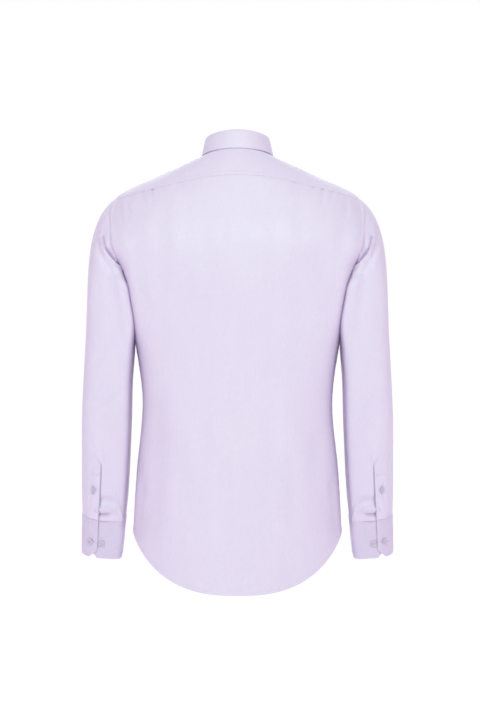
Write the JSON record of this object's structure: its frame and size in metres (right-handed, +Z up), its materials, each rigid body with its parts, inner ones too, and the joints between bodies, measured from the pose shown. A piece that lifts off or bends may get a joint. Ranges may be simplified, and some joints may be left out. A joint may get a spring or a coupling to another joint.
{
  "type": "long sleeve dress shirt",
  "caption": "Slim long sleeve button-front dress shirt with a turned-down collar, barrel cuffs and a curved hem, filled out as if worn.",
  "frame": {"origin": "middle of the neck opening, level with the tops of the shoulders, where the wearer's shoulders carry the shirt", "axes": "+Z up the body, -Y out of the chest, +X towards the wearer's left arm"},
  "size_m": [0.5488, 0.2731, 0.7966],
  "materials": {
    "cloth": "pale lilac cotton twill, matt",
    "button": "pale pearl, softly polished"
  },
  "bodies": {
    "root": {"back": "cloth", "yoke": "cloth", "front_left": "cloth", "front_right": "cloth", "collar_stand": "cloth", "collar_leaf": "cloth", "sleeve_left": "cloth", "sleeve_right": "cloth", "gauntlet_left": "cloth", "gauntlet_right": "cloth", "cuff_left": "cloth", "cuff_right": "cloth", "button_stand": "button", "button_front_1": "button", "button_front_2": "button", "button_front_3": "button", "button_front_4": "button", "button_front_5": "button", "button_front_6": "button", "button_cuff_left_a": "button", "button_cuff_left_b": "button", "button_cuff_right_a": "button", "button_cuff_right_b": "button", "button_gauntlet_left": "button", "button_gauntlet_right": "button"}
  },
  "joints": []
}
